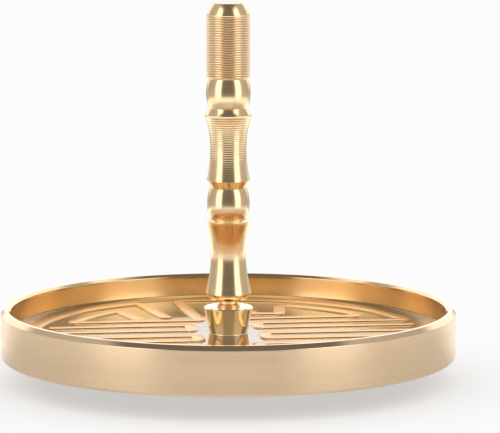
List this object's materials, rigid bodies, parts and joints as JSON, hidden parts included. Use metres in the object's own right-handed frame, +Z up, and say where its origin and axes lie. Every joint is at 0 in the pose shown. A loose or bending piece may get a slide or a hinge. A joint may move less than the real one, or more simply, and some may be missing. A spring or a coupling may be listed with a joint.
{
  "type": "spinning top",
  "caption": "Turned brass spinning top: dished rotor with a raised meander on its floor, a baluster grip stem screwed into a collar, and a ball tip.",
  "frame": {"origin": "lowest point of the ball, on the spinning axis", "axes": "+Z up along the spinning axis; the bars of the meander lie 7 degrees from +X"},
  "size_m": [0.06, 0.06, 0.05],
  "materials": {
    "rim_brass": "fine satin turned, with polished chamfers",
    "disc_brass": "satin raised lines over a darker, glossier floor",
    "collar_brass": "polished",
    "washer_brass": "satin",
    "stem_brass": "satin turned, with fine rings on the grip",
    "tip_brass": "fine turned",
    "ball_steel": "polished bearing steel"
  },
  "bodies": {
    "rotor": {"rim_ring": "rim_brass", "engraved_disc": "disc_brass", "hub_collar": "collar_brass"},
    "stem_washer": {"lock_washer": "washer_brass"},
    "stem": {"grip_stem": "stem_brass"},
    "tip_washer": {"seat_washer": "washer_brass"},
    "tip": {"tip_carrier": "tip_brass", "tip_ball": "ball_steel"}
  },
  "joints": [
    {"name": "stem_rise", "type": "slide", "parent": "rotor", "child": "stem_washer", "axis": [0, 0, 1], "range_m": [0, 0.0027]},
    {"name": "stem_turn", "type": "hinge", "parent": "stem_washer", "child": "stem", "pos_m": [0, 0, 0.01008], "axis": [0, 0, 1], "range_deg": [0, 2160]},
    {"name": "tip_drop", "type": "slide", "parent": "rotor", "child": "tip_washer", "axis": [0, 0, -1], "range_m": [0, 0.00248]},
    {"name": "tip_turn", "type": "hinge", "parent": "tip_washer", "child": "tip", "pos_m": [0, 0, 0.0036], "axis": [0, 0, -1], "range_deg": [0, 1980]}
  ],
  "couplings": [
    {"joint": "stem_turn", "follows": "stem_rise", "rad_per_m": 13963},
    {"joint": "tip_turn", "follows": "tip_drop", "rad_per_m": 13963}
  ]
}
